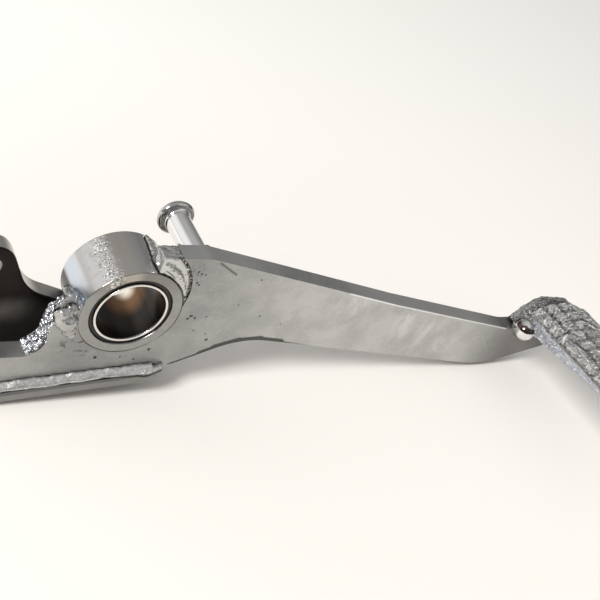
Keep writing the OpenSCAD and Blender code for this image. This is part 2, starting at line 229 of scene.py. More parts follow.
class Shader(Wiring):
    """One material's nodes; places and sizes on the piece are in millimetres."""

    def __init__(self, name):
        self.material = bpy.data.materials.new(name)
        self.material.use_nodes = True
        super().__init__(self.material.node_tree)
        self.tree.nodes.clear()
        self.surface = self.node("ShaderNodeBsdfPrincipled")
        self.node("ShaderNodeOutputMaterial", {"Surface": self.surface.outputs[0]})
        self.coords = self.node("ShaderNodeTexCoord")
        self.place = self.vector("SCALE", self.coords.outputs["Object"], scale=1 / MM)

    def axis(self, name):
        """One coordinate of the place on the piece."""
        return self.node("ShaderNodeSeparateXYZ", {0: self.place}).outputs[name]

    def turned_to(self, name):
        """How far the surface is turned to one axis of the piece: 1 faces it, -1 faces away."""
        return self.node("ShaderNodeSeparateXYZ", {0: self.coords.outputs["Normal"]}).outputs[name]

    def facing(self, name):
        """How squarely the surface faces along one axis of the piece, either way: 1 fully, 0 not."""
        return self.math("ABSOLUTE", self.turned_to(name))

    def noise(self, size, detail=3.0, stretch=(1, 1, 1), rough=0.55, seed=0):
        """Noise whose features are about size wide, longer along a stretched axis."""
        scaled = self.vector("MULTIPLY", self.place, tuple(1 / s for s in stretch))
        moved = self.vector("ADD", scaled, (seed * 7.3, seed * 3.1, seed * 5.7))
        settings = {"Vector": moved, "Scale": 1 / size, "Detail": detail, "Roughness": rough}
        return self.node("ShaderNodeTexNoise", settings).outputs["Fac"]

    def cells(self, size, seed):
        """Distance to the nearest of scattered points, about size apart."""
        moved = self.vector("ADD", self.place, (seed * 4.1, seed * 2.7, seed * 6.3))
        return self.node("ShaderNodeTexVoronoi", {"Vector": moved, "Scale": 1 / size}).outputs["Distance"]

    def near(self, point, inner, outer, squash=ROUND):
        """1 within inner of a point and 0 past outer, with squash over 1 to shorten an axis."""
        moved = self.vector("MULTIPLY", self.vector("SUBTRACT", self.place, point), squash)
        return self.step(self.vector("LENGTH", moved), outer, inner)

    def stroke(self, start, end, width, core=SOFT):
        """1 along a straight mark from start to end, fading out from core to all of its width."""
        a, b = Vector(start), Vector(end)
        run = b - a
        from_a = self.vector("SUBTRACT", self.place, tuple(a))
        along = self.vector("DOT_PRODUCT", from_a, tuple(run / run.length_squared))
        held = self.math("MAXIMUM", self.math("MINIMUM", along, 1.0), 0.0)
        foot = self.vector("SCALE", tuple(run), scale=held)
        return self.step(self.vector("DISTANCE", from_a, foot), width, width * core)

    def face_spots(self, *spots):
        """Spots on the arm's outer face, each an (x, z) place, inner and outer size, and squash."""
        return self.most(*(self.near((x, 0, z), inner, outer, squash)
                           for (x, z), inner, outer, squash in spots))

    def face_strokes(self, *strokes):
        """Strokes on the arm's outer face, each from (x, z) to (x, z), with its width and core."""
        return self.most(*(self.stroke((x0, 0, z0), (x1, 0, z1), width, core)
                           for (x0, z0), (x1, z1), width, core in strokes))

    def bump(self, height, depth):
        """Relief whose full height is depth."""
        return self.node("ShaderNodeBump", {"Distance": depth * MM, "Height": height}).outputs["Normal"]

    def finish(self, colour, roughness, normal=None, metallic=1.0):
        """The material, with its colour, roughness, relief and kind set."""
        self.put(self.surface.inputs["Base Color"], colour)
        self.put(self.surface.inputs["Roughness"], roughness)
        self.put(self.surface.inputs["Metallic"], metallic)
        if normal is not None:
            self.put(self.surface.inputs["Normal"], normal)
        return self.material


# Finishes

def arm_dark_marks(s):
    """Pits, grazes by the welds and the heel, and the painted shade of one crease in the arm's outer face.
    """
    scattered = s.times(s.step(s.cells(2.2, seed=1), 0.10, 0.05), s.step(s.noise(9, 2.0, seed=5), 0.64, 0.7))
    pits = s.face_spots(
        ((18.9, -1.5), 0.35, 0.75, (1, 1, 1.7)),
        ((18.1, -2.5), 0.20, 0.50, ROUND),
        ((20.4, -2.4), 0.25, 0.60, (1.5, 1, 1)),
        ((26.1, -9.1), 0.10, 0.45, (1.6, 1, 1)),
        ((27.3, -11.5), 0.15, 0.55, (0.7, 1, 1)),
        ((37.0, 12.3), 0.10, 0.40, ROUND),
        ((42.2, -2.3), 0.10, 0.40, ROUND),
        ((9.7, -14.6), 0.20, 0.60, ROUND),
        ((-6.1, -16.9), 0.20, 0.65, ROUND),
        ((17.2, 10.6), 0.15, 0.45, ROUND),
        ((16.4, 11.4), 0.15, 0.50, ROUND),
        ((15.5, 15.4), 0.15, 0.45, ROUND),
        ((16.7, 14.6), 0.15, 0.45, ROUND),
        ((18.1, 14.3), 0.10, 0.35, ROUND),
        ((24.0, -2.0), 0.08, 0.35, ROUND),
        ((21.7, -7.5), 0.08, 0.35, ROUND),
        ((33.0, 2.5), 0.06, 0.30, ROUND),
        ((51.0, -6.0), 0.06, 0.30, ROUND),
        ((6.0, -18.4), 0.10, 0.45, ROUND),
        ((1.5, -17.2), 0.08, 0.35, ROUND))
    by_weld = s.times(s.near((14.6, 0, 13.5), 2.5, 6.0, (1.5, 1, 0.8)),
                      s.step(s.noise(0.8, 4.0, rough=0.7, seed=32), 0.54, 0.66), 0.8)
    by_heel = s.times(s.near((-11.5, 0, -12.0), 2.5, 9.5, (1, 1, 1.9)),
                      s.step(s.noise(1.1, 4.0, (2.2, 1, 1), rough=0.65, seed=8), 0.56, 0.63), 0.8)
    # painted shade along a small crease in the outer face
    crease = s.times(s.stroke((21.4, 0, 18.6), (27.8, 0, 14.4), 0.45), 0.55)
    return s.most(scattered, pits, by_weld, by_heel, crease)


def arm_scratches(s):
    """Long light scratches down the front half of the arm."""
    return s.face_strokes(
        ((101, 1.5), (96, -9), 0.5, SOFT),
        ((106, 0.5), (99, -12), 0.5, SOFT),
        ((116, -5), (110, -20), 0.6, SOFT),
        ((119.4, -7.7), (114, -17), 0.5, SOFT),
        ((141.8, -16.0), (148.9, -23.3), 0.5, SOFT))


def arm_rolled_edge_shade(s):
    """Painted shade where the arm's lower edge rolls under at the waist, darkest along its toe."""
    rolled = s.face_strokes(
        ((23, -20.2), (27.5, -17.7), 1.4, 0.7),
        ((27.5, -17.7), (31.7, -15.7), 1.9, 0.75),
        ((31.7, -15.7), (38.7, -13.3), 2.4, 0.75),
        ((38.7, -13.3), (46, -12.8), 2.2, 0.75),
        ((46, -12.8), (54, -14.2), 1.9, 0.7),
        ((52, -14.0), (66, -17.2), 1.5, 0.4))
    toe = s.face_strokes(
        ((18, -21.8), (31.7, -15.5), 1.1, SOFT),
        ((31.7, -15.5), (38.7, -13.1), 0.8, SOFT))
    return s.most(s.times(rolled, 0.90), toe)


def arm_highlight_patches(s):
    """Painted highlights: patches where the arm's face is painted lighter, broken up by smears."""
    patches = s.face_spots(
        ((101, -8), 2, 9, (1.5, 1, 0.6)),
        ((112, -12), 1, 8, (1.6, 1, 0.6)),
        ((124, -19), 1, 8, (0.8, 1, 1.3)),
        ((75, 1), 2, 9, (0.8, 1, 1.3)))
    smears = s.noise(4, 4.0, (0.7, 1, 1.6), rough=0.65, seed=38)
    return s.times(patches, s.step(smears, 0.42, 0.6), 0.45)


def satin_arm_chrome():
    """Worn satin plating on the arm: fine grain, faint waves, pits, scratches and grazes, with painted
    highlights on its shoulder, top face and upper edge, and painted shade toward the heel, under the waist
    and at the tip.
    """
    s = Shader("satin_arm_chrome")
    along = s.axis("X")
    upward = s.turned_to("Z")
    squarely = s.facing("Y")
    dark = s.times(arm_dark_marks(s), s.step(s.axis("Y"), 0.4, 0.1))
    scratches = arm_scratches(s)
    # blistered plating on the edge face of the horn and the scallop, its blisters painted light and dark as
    # highlights and shade
    blistered = s.times(s.band(along, -26.5, -23.5, -16.5, -13.5), s.step(s.axis("Z"), -17.5, -15.0),
                        s.step(squarely, 0.75, 0.4))
    blisters = s.noise(0.9, 5.0, rough=0.7, seed=33)
    # painted highlights: the edge over the outer face, painted bright along the arm, and the thin light line
    # on it
    painted_highlight = s.times(s.step(upward, 0.2, 0.5), s.step(squarely, 0.2, 0.5), s.step(along, 40, 75))
    edge_highlight_line = s.face_strokes(
        ((72, 6.3), (93, 0.9), 0.6, SOFT),
        ((93, 0.9), (151, -12.1), 0.6, SOFT))
    clouds = s.noise(11, 5.0, (1.1, 1, 0.9), rough=0.62, seed=31)
    flecks = s.noise(0.7, 2.0, rough=0.8, seed=37)
    # painted shade: the face darker toward the heel, under the tube
    heel_shade = s.times(s.step(along, 62, 2), s.number(s.step(along, -5, -30), 0.38, 0.25))
    # painted highlight: the upturned faces of the shoulder painted light
    shoulder = s.times(s.step(along, 50, 27), s.step(upward, 0.15, 0.5), 0.85)
    # painted highlight: the top face painted lighter toward the tip
    lit_top_face = s.times(s.step(upward, 0.6, 0.9), s.step(along, 55, 95))
    tint = s.layers(
        s.colour(s.step(clouds, 0.36, 0.64), (0.415, 0.418, 0.412), (0.520, 0.523, 0.515)),
        (s.times(s.step(flecks, 0.35, 0.75), 0.18), (0.78, 0.78, 0.77)),
        (shoulder, (0.93, 0.93, 0.92)),
        # painted highlights in patches on the outer face
        (arm_highlight_patches(s), (0.74, 0.74, 0.73)),
        (heel_shade, (0.02, 0.02, 0.02)),
        (lit_top_face, (0.66, 0.655, 0.645)),
        # painted shade where the lower edge rolls under at the waist
        (arm_rolled_edge_shade(s), (0.052, 0.050, 0.046)),
        # painted shade: darker where the tip bends away
        (s.times(s.step(along, 132, 160), 0.9), (0.17, 0.165, 0.16)),
        (s.times(edge_highlight_line, 0.7), (0.96, 0.96, 0.95)),
        (painted_highlight, (0.92, 0.92, 0.91)),
        (s.times(scratches, 0.14), (0.80, 0.80, 0.80)),
        (blistered, s.colour(blisters, (0.35, 0.36, 0.40), (0.95, 0.95, 0.97))),
        (dark, (0.05, 0.042, 0.035)))
    smears = s.noise(5, 3.0, (2.5, 1, 1), seed=3)
    rough = s.plus(s.number(smears, 0.28, 0.42), s.times(scratches, 0.12))
    rough = s.times(rough, s.number(s.most(blistered, painted_highlight), 1.0, 0.45))
    grain = s.noise(0.35, 2.0, (3, 1, 1), seed=1)
    waves = s.noise(16, 2.0, (2, 1, 1), seed=2)
    relief = s.plus(s.times(grain, 0.012), s.times(waves, 0.35), s.times(dark, -0.25),
                    s.times(blisters, blistered, 0.9))
    return s.finish(tint, rough, s.bump(relief, 1.0))


def dull_lever_chrome():
    """Dull plating of the lever plate, with brown staining and painted shade on the face between the plates.
    """
    s = Shader("dull_lever_chrome")
    stain = s.noise(7, 4.0, seed=4)
    inside = s.step(s.axis("Y"), 12.4, 11.9)
    # painted shade, darkest high up, where the face looks into the room
    inner_face_shade = s.times(inside, s.step(s.axis("Z"), -11.0, -3.0), 0.93)
    tint = s.layers(
        s.colour(s.noise(4, 3.0, seed=6), (0.50, 0.48, 0.45), (0.66, 0.64, 0.61)),
        (s.times(inside, s.number(stain, 0.45, 0.90)), (0.055, 0.036, 0.028)),
        (inner_face_shade, (0.010, 0.007, 0.006)))
    rough = s.plus(s.number(stain, 0.28, 0.42), s.times(inside, 0.1))
    return s.finish(tint, rough, s.bump(s.noise(1.2, 3.0, seed=7), 0.06))


def satin_web_chrome():
    """Plating of the web plate, painted darker than the arm as the shade it reflects from under the pedal.
    """
    s = Shader("satin_web_chrome")
    # painted shade: the whole web painted darker than the arm
    tint = s.colour(s.noise(6, 3.0, seed=9), (0.20, 0.197, 0.19), (0.30, 0.295, 0.29))
    relief = s.plus(s.noise(2.2, 3.0, (3, 1, 1), seed=10), s.times(s.noise(0.5, 2.0, seed=11), 0.2))
    return s.finish(tint, s.number(s.noise(3, 2.0, seed=12), 0.26, 0.42), s.bump(relief, 0.10))


def turned_tube_chrome():
    """Bright turned tube, with a band of pits, warm stains, a painted cool highlight streak along it and
    painted dark reflections at its sides.
    """
    s = Shader("turned_tube_chrome")
    rings = s.noise(0.25, 2.0, (30, 1, 30), seed=13)
    streaks = s.noise(2.2, 3.0, (1, 14, 1), seed=14)
    # all of these run along the tube, at an angle round it in radians
    angle = s.math("ARCTAN2", s.axis("Z"), s.axis("X"))
    wobble = s.number(s.noise(2.0, 3.0, seed=15), -0.22, 0.22)
    pitted = s.step(s.math("ABSOLUTE", s.plus(angle, -2.16, wobble)), 0.22, 0.08)
    pits = s.times(pitted, s.step(s.cells(0.95, seed=4), 0.34, 0.2))
    flecks = s.times(pitted, s.step(s.noise(0.6, 2.0, seed=16), 0.52, 0.6))
    stained = s.times(s.step(s.math("ABSOLUTE", s.plus(angle, -2.35)), 0.3, 0.05),
                      s.step(s.noise(3, 2.0, seed=17), 0.5, 0.7))
    # painted reflection: the tube painted dark along its left and lower left, where it reflects dark
    # surroundings
    dark_side_reflections = s.most(s.step(angle, 2.98, 3.10), s.step(angle, -2.0, -2.4))
    # the outer end face is darker, most of all above the bore
    end_face = s.layers(
        s.colour(streaks, (0.27, 0.27, 0.26), (0.38, 0.38, 0.37)),
        (s.times(s.step(s.axis("Z"), 4, 13), 0.5), (0.16, 0.155, 0.15)))
    tint = s.layers(
        s.colour(streaks, (0.52, 0.515, 0.51), (0.68, 0.675, 0.67)),
        # painted highlight: a cool streak along the tube's left
        (s.band(angle, 2.56, 2.86, 2.94, 3.06), (0.62, 0.69, 0.78)),
        (dark_side_reflections, (0.07, 0.07, 0.08)),
        (s.step(s.axis("Y"), 0.5, 0.2), end_face),
        (s.times(s.band(angle, 1.5, 1.75, 1.95, 2.15), 0.5), (0.60, 0.54, 0.47)),
        (s.times(stained, 0.5), (0.50, 0.42, 0.34)),
        (s.times(flecks, 0.8), (0.95, 0.94, 0.92)),
        (s.times(pits, 0.85), (0.10, 0.09, 0.08)))
    relief = s.plus(s.times(rings, 0.05), s.times(streaks, 0.10), s.times(s.most(flecks, pits), -0.25))
    return s.finish(tint, s.number(streaks, 0.16, 0.30), s.bump(relief, 0.25))


def worn_bush():
    """Thin bush: bright rim, and a bore painted near black as shade, with painted warm highlight streaks and
    a painted glint at its far end.
    """
    s = Shader("worn_bush")
    rim = s.step(s.axis("Y"), 0.6, 0.3)
    streaks = s.noise(2.5, 3.0, (1, 6, 1), seed=18)
    # painted highlights: warm streaks high in the bore
    warm = s.times(s.near((-5.0, 6.0, 8.5), 1.5, 8.0), s.step(streaks, 0.4, 0.65))
    tint = s.layers(
        # painted shade: the bore near black
        s.colour(streaks, (0.022, 0.020, 0.019), (0.060, 0.052, 0.047)),
        (warm, (0.34, 0.20, 0.11)),
        # a painted warm glow round the glint, then the painted glint at the bore's far end
        (s.near((5.5, 15.0, -7.9), 2.0, 8.0), (0.22, 0.125, 0.07)),
        (s.near((6.0, 17.6, -7.9), 0.6, 4.2), (1.0, 0.90, 0.76)),
        (rim, (0.78, 0.76, 0.73)))
    return s.finish(tint, s.number(rim, 0.24, 0.2), s.bump(streaks, 0.05))


def seal_rubber():
    """Matt black rubber."""
    s = Shader("seal_rubber")
    tint = s.colour(s.noise(0.8, 2.0, seed=19), (0.010, 0.009, 0.008), (0.022, 0.018, 0.015))
    return s.finish(tint, 0.55, s.bump(s.noise(0.3, 2.0, seed=20), 0.03), metallic=0.0)


def polished_chrome():
    """Polished plating of the spring pin, with painted shade on its head."""
    s = Shader("polished_chrome")
    waves = s.noise(1.8, 2.0, (1, 5, 1), seed=21)
    under = PIN_END - PIN_HEAD_T
    # painted shade: the whole head darker than the shank
    head_shade = s.step(s.axis("Y"), under - 0.6, under + 0.1)
    tint = s.layers(
        s.colour(waves, (0.78, 0.78, 0.78), (0.92, 0.92, 0.92)),
        (head_shade, s.colour(waves, (0.38, 0.38, 0.37), (0.60, 0.60, 0.59))))
    return s.finish(tint, s.number(waves, 0.07, 0.15), s.bump(waves, 0.04))


def cast_pad_chrome():
    """Granular plated casting: bright worn stud tops over dark grooves, with a painted lit and shaded side
    on each stud, painted highlights near the root, and a bluish side.
    """
    s = Shader("cast_pad_chrome")
    height = s.node("ShaderNodeAttribute", attribute_name="stud_height").outputs["Fac"]
    crust = s.noise(0.62, 4.0, rough=0.75, seed=22)
    grained = s.step(crust, 0.44, 0.53)
    # painted highlight: grooves and grain lighter near the pad's root
    root = s.step(s.axis("X"), 166, 161)
    groove = s.colour(grained, s.colour(root, (0.02, 0.02, 0.02), (0.06, 0.06, 0.06)),
                      s.colour(root, (0.22, 0.22, 0.23), (0.55, 0.55, 0.55)))
    # painted light and shade: each stud is painted bright on its side toward the pivot and dark on the other
    painted_highlight = s.step(s.turned_to("X"), 0.45, -0.35)
    crown = s.colour(grained, s.colour(painted_highlight, (0.04, 0.04, 0.04), (0.15, 0.15, 0.15)),
                     s.colour(painted_highlight, (0.72, 0.72, 0.72), (1.0, 1.0, 0.99)))
    side = s.times(s.step(height, -0.25, -0.55), s.step(s.axis("Y"), -3.0, -6.0))
    tint = s.layers(
        groove,
        (s.step(height, -0.1, 0.7), crown),
        (side, s.colour(grained, (0.32, 0.34, 0.38), (0.78, 0.80, 0.86))))
    relief = s.plus(crust, s.times(s.cells(0.55, seed=6), 0.5))
    return s.finish(tint, s.number(crust, 0.26, 0.12), s.bump(relief, 0.9))


def smooth_weld_chrome():
    """Plated weld metal of the small fillets."""
    s = Shader("smooth_weld_chrome")
    grit = s.noise(1.6, 4.0, rough=0.6, seed=23)
    tint = s.colour(grit, (0.492, 0.492, 0.492), (0.60, 0.60, 0.60))
    return s.finish(tint, s.number(grit, 0.30, 0.16), s.bump(grit, 0.12))


def blister_chrome():
    """Plating that has lifted in blisters: cool crowns painted near-mirror bright as highlights, over black
    crevices that are partly painted shade.
    """
    s = Shader("blister_chrome")
    patches = s.noise(0.9, 4.0, rough=0.65, seed=42)
    tint = s.colour(s.step(patches, 0.40, 0.56), (0.10, 0.10, 0.11), (0.88, 0.91, 0.98))
    return s.finish(tint, s.number(patches, 0.30, 0.10), s.bump(patches, 0.7))


def lump_weld_chrome():
    """The smooth lump in the horn: bright metal, black where it meets the arm, and one pit."""
    s = Shader("lump_weld_chrome")
    grit = s.noise(1.4, 4.0, rough=0.6, seed=43)
    crevice = s.times(s.band(s.axis("Y"), -0.55, -0.10, 0.6, 1.2),
                      s.step(s.noise(1.5, 3.0, seed=44), 0.38, 0.52))
    pit = s.near((-17.6, -2.2, -3.0), 0.25, 0.7)
    tint = s.layers(
        s.colour(grit, (0.38, 0.38, 0.37), (0.54, 0.54, 0.53)),
        (s.most(crevice, pit), (0.03, 0.028, 0.025)))
    return s.finish(tint, s.number(grit, 0.34, 0.18), s.bump(grit, 0.18))


def drop_chrome():
    """Mirror-like drop of weld metal, with a painted dark, brownish reflection band across its upper half
    and painted shade at its bottom.
    """
    s = Shader("drop_chrome")
    upward = s.turned_to("Z")
    swirl = s.number(s.noise(2.2, 3.0, rough=0.6, seed=45), -0.25, 0.25)
    tint = s.layers(
        (0.80, 0.80, 0.79),
        # painted reflection: a dark band across the upper half
        (s.band(s.plus(upward, swirl), 0.16, 0.30, 0.70, 0.86), (0.10, 0.075, 0.065)),
        # painted shade at the bottom
        (s.times(s.step(upward, -0.45, -0.70), 0.8), (0.25, 0.25, 0.25)))
    return s.finish(tint, 0.10, s.bump(s.noise(2.0, 2.0, seed=46), 0.06))


def groove_weld_chrome():
    """The weld in the groove over the tube: smooth metal with a dark, pitted toe along both sides."""
    s = Shader("groove_weld_chrome")
    grit = s.noise(1.6, 4.0, rough=0.6, seed=34)
    flat = s.vector("MULTIPLY", s.place, (1, 0, 1))
    at_tube = s.times(s.step(s.vector("LENGTH", flat), TUBE_R + 0.6, TUBE_R + 0.15), 0.9)
    from_groove = s.vector("DISTANCE", flat, (-2.0, 0, 7.0))
    at_arm = s.times(s.step(from_groove, 16.0, 16.9), s.step(s.axis("Y"), 1.6, 0.8),
                     s.step(s.noise(0.8, 3.0, rough=0.7, seed=35), 0.40, 0.55))
    pits = s.step(s.noise(1.1, 3.0, rough=0.7, seed=36), 0.64, 0.69)
    dark = s.most(at_tube, at_arm, pits)
    tint = s.layers(
        s.colour(grit, (0.50, 0.50, 0.495), (0.68, 0.68, 0.67)),
        (dark, (0.035, 0.030, 0.026)))
    relief = s.math("SUBTRACT", grit, dark)
    return s.finish(tint, s.number(grit, 0.34, 0.20), s.bump(relief, 0.2))


def web_bead_chrome():
    """The long beads' plated metal: flat and fine-grained, with painted shade on their lower side and a
    dark, wandering line at both toes.
    """
    s = Shader("web_bead_chrome")
    wander = s.number(s.noise(3.0, 3.0, (2, 1, 1), seed=40), -0.4, 0.4)
    over_web = s.plus(s.axis("Z"), s.times(s.axis("X"), -WEB_PITCH), -WEB_TOP_0)
    # the lower toe lies higher toward the front
    to_front = s.number(s.step(s.axis("X"), -30, 8), 0.9, 0.0)
    height = s.plus(over_web, wander, to_front)
    # painted shade: the bead's lower side as dark as the web
    low_side_shade = s.step(height, 0.75, 0.45)
    low_toe = s.times(low_side_shade, s.step(height, -0.35, 0.15), 0.85)
    high_toe = s.times(s.step(s.axis("Y"), -0.34, -0.10), 0.45)
    grit = s.noise(0.8, 4.0, rough=0.7, seed=41)
    tint = s.layers(
        s.colour(s.step(grit, 0.35, 0.65), (0.50, 0.495, 0.49), (0.76, 0.755, 0.75)),
        (low_side_shade, (0.25, 0.247, 0.24)),
        (s.most(low_toe, high_toe), (0.05, 0.047, 0.042)))
    return s.finish(tint, s.number(grit, 0.38, 0.26), s.bump(grit, 0.16))


# Mesh helpers

def in_scene(name, data):
    """A new object in the scene, with its data."""
    thing = bpy.data.objects.new(name, data)
    bpy.context.scene.collection.objects.link(thing)
    return thing


def new_piece(name, mesh, material, slot, *replaced):
    """Puts a finished mesh in the scene, on the pedal's one body, in place of CAD nodes."""
    piece = in_scene(name, mesh)
    mesh.materials.clear()
    mesh.materials.append(material)
    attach(piece, "root")
    if replaced:
        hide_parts(*replaced)


def merged_copy(node):
    """A CAD node's mesh with its doubles merged and its flat faces joined up."""
    mesh = bpy.data.meshes.new(node + "_copy")
    bm = bmesh.new()
    bm.from_mesh(nodes[node].data)
    bmesh.ops.remove_doubles(bm, verts=bm.verts, dist=DOUBLES)
    bmesh.ops.dissolve_limit(bm, angle_limit=FLAT, verts=bm.verts, edges=bm.edges)
    bm.to_mesh(mesh)
    bm.free()
    return mesh


def plain_mesh(holder):
    """The mesh that a helper object's modifiers make; the object is removed."""
    depsgraph = bpy.context.evaluated_depsgraph_get()
    mesh = bpy.data.meshes.new_from_object(holder.evaluated_get(depsgraph))
    bpy.data.objects.remove(holder)
    return mesh


def applied(mesh, *modifiers):
    """The mesh with modifiers applied, each given as its type and its settings."""
    holder = in_scene("holder", mesh)
    for kind, settings in modifiers:
        modifier = holder.modifiers.new(kind.lower(), kind)
        for key, value in settings.items():
            setattr(modifier, key, value)
    return plain_mesh(holder)


def fused(mesh, voxel, factor, rounds):
    """The mesh as one skin made of small voxels, smoothed some rounds."""
    return applied(mesh, ("REMESH", {"mode": "VOXEL", "voxel_size": voxel * MM}),
                   ("SMOOTH", {"factor": factor, "iterations": rounds}))


def smooth(mesh):
    """The mesh, shaded smooth."""
    mesh.shade_smooth()
    return mesh


def raised(mesh, height_at):
    """The mesh with each point moved out along its normal, by a height that depends on its place."""
    moves = [vertex.normal * height_at(vertex.co / MM) * MM for vertex in mesh.vertices]
    for vertex, move in zip(mesh.vertices, moves):
        vertex.co += move
    return mesh


def rounded(node, width, segments, weight=None):
    """A plate with its edges rounded by a width, times a weight by place on the plate."""
    mesh = merged_copy(node)
    mesh.attributes.new("bevel_weight_edge", "FLOAT", "EDGE")
    bm = bmesh.new()
    bm.from_mesh(mesh)
    edge_layer = bm.edges.layers.float["bevel_weight_edge"]
    for edge in bm.edges:
        if len(edge.link_faces) == 2 and edge.calc_face_angle(0.0) > SHARP:
            middle = (edge.verts[0].co + edge.verts[1].co) / 2 / MM
            edge[edge_layer] = 1.0 if weight is None else weight(middle)
    bm.to_mesh(mesh)
    bm.free()
    bevel = {"limit_method": "WEIGHT", "width": width * MM, "segments": segments, "use_clamp_overlap": True}
    return smooth(applied(smooth(mesh), ("BEVEL", bevel), EVEN_NORMALS))


def turned(name, profile, segments, centre=(0, 0)):
    """A solid of revolution about a line along Y, from a closed profile of (radius, y) points."""
    bm = bmesh.new()
    rings = []
    for k in range(segments):
        turn = 2 * math.pi * k / segments
        rings.append([
            bm.verts.new(Vector((centre[0] + r * math.cos(turn), y, centre[1] + r * math.sin(turn))) * MM)
            for r, y in profile])
    for k in range(segments):
        here, there = rings[k], rings[(k + 1) % segments]
        for i in range(len(profile)):
            j = (i + 1) % len(profile)
            bm.faces.new((here[i], here[j], there[j], there[i]))
    bmesh.ops.remove_doubles(bm, verts=bm.verts, dist=POLE_DOUBLES)
    bmesh.ops.recalc_face_normals(bm, faces=bm.faces)
    mesh = bpy.data.meshes.new(name)
    bm.to_mesh(mesh)
    bm.free()
    return smooth(applied(smooth(mesh), EVEN_NORMALS))


def eased(points, ease, steps=3):
    """A closed profile whose corners are rounded by about ease."""
    out = []
    for i, point in enumerate(points):
        here = Vector(point)
        before, after = Vector(points[i - 1]), Vector(points[(i + 1) % len(points)])
        back = (before - here).normalized() * min(ease, (before - here).length * 0.45)
        on = (after - here).normalized() * min(ease, (after - here).length * 0.45)
        for k in range(steps + 1):
            t = k / steps
            out.append(tuple(here + back * (1 - t) ** 2 + on * t ** 2))
    return out


def arc(middle, width, height, degrees):
    """Points of a profile on an arc: its middle, half its width and height, and the angles."""
    return [(middle[0] + width * math.cos(math.radians(a)), middle[1] + height * math.sin(math.radians(a)))
            for a in degrees]


class GrainTree(Wiring):
    """A Geometry Nodes tree that sets round grains of metal along a path or over a strip."""

    def __init__(self, name, over_faces):
        super().__init__(bpy.data.node_groups.new(name, "GeometryNodeTree"))
        interface = self.tree.interface
        interface.new_socket("Geometry", in_out="INPUT", socket_type="NodeSocketGeometry")
        self.inputs = {
            label: interface.new_socket(label, in_out="INPUT", socket_type="NodeSocket" + kind).identifier
            for label, kind in (("Spacing", "Float"), ("Smallest", "Float"), ("Largest", "Float"),
                                ("Seed", "Int"), ("Metal", "Material"))}
        interface.new_socket("Geometry", in_out="OUTPUT", socket_type="NodeSocketGeometry")
        given = self.node("NodeGroupInput").outputs
        points = self.over_faces(given) if over_faces else self.along_path(given)
        # a ball of 1 mm radius, times the point's own thickness and a random share
        ball = self.node("GeometryNodeMeshIcoSphere", {"Radius": MM, "Subdivisions": 3})
        share = self.node("FunctionNodeRandomValue", {"Seed": given["Seed"]}, data_type="FLOAT")
        smallest, largest = [socket for socket in share.inputs if socket.type == "VALUE"][:2]
        self.put(smallest, given["Smallest"])
        self.put(largest, given["Largest"])
        drawn = [socket for socket in share.outputs if socket.type == "VALUE"][0]
        thickness = self.node("GeometryNodeInputNamedAttribute", {"Name": "thickness"}, data_type="FLOAT")
        size = self.math("MULTIPLY", thickness.outputs["Attribute"], drawn)
        placed = self.node("GeometryNodeInstanceOnPoints",
                           {"Points": points, "Instance": ball.outputs["Mesh"], "Scale": size})
        real = self.node("GeometryNodeRealizeInstances", {"Geometry": placed.outputs["Instances"]})
        metal = self.node("GeometryNodeSetMaterial",
                          {"Geometry": real.outputs["Geometry"], "Material": given["Metal"]})
        self.node("NodeGroupOutput", {"Geometry": metal.outputs["Geometry"]})

    def over_faces(self, given):
        """Points strewn over the faces, nowhere nearer than the spacing."""
        most_per_square_metre = 9.0e6
        spread = self.node("GeometryNodeDistributePointsOnFaces", distribute_method="POISSON")
        for key, value in (("Mesh", given["Geometry"]), ("Distance Min", given["Spacing"]),
                           ("Density Max", most_per_square_metre), ("Seed", given["Seed"])):
            self.put(spread.inputs[key], value)
        return spread.outputs["Points"]

    def along_path(self, given):
        """Points along the path, a spacing apart."""
        curve = self.node("GeometryNodeMeshToCurve", {"Mesh": given["Geometry"]})
        even = self.node("GeometryNodeResampleCurve", mode="LENGTH")
        self.put(even.inputs["Curve"], curve.outputs["Curve"])
        self.put(even.inputs["Length"], given["Spacing"])
        return even.outputs["Curve"]

    def grains(self, points, spacing, wander, seed, metal, faces=(), closed=False):
        """Plain mesh of the grains on (x, y, z, radius) points, joined in a line or by faces."""
        mesh = bpy.data.meshes.new("path")
        edges = [] if faces else [(k, k + 1) for k in range(len(points) - 1)]
        if closed:
            edges.append((len(points) - 1, 0))
        mesh.from_pydata([Vector(point[:3]) * MM for point in points], edges, faces)
        layer = mesh.attributes.new("thickness", "FLOAT", "POINT")
        layer.data.foreach_set("value", [point[3] for point in points])
        holder = in_scene("path", mesh)
        modifier = holder.modifiers.new("grains", "NODES")
        modifier.node_group = self.tree
        for label, value in (("Spacing", spacing * MM), ("Smallest", 1 - wander), ("Largest", 1 + wander),
                             ("Seed", seed), ("Metal", metal)):
            modifier[self.inputs[label]] = value
        return plain_mesh(holder)


weld_on_path = GrainTree("weld_on_path", False)
grains_on_strip = GrainTree("grains_on_strip", True)


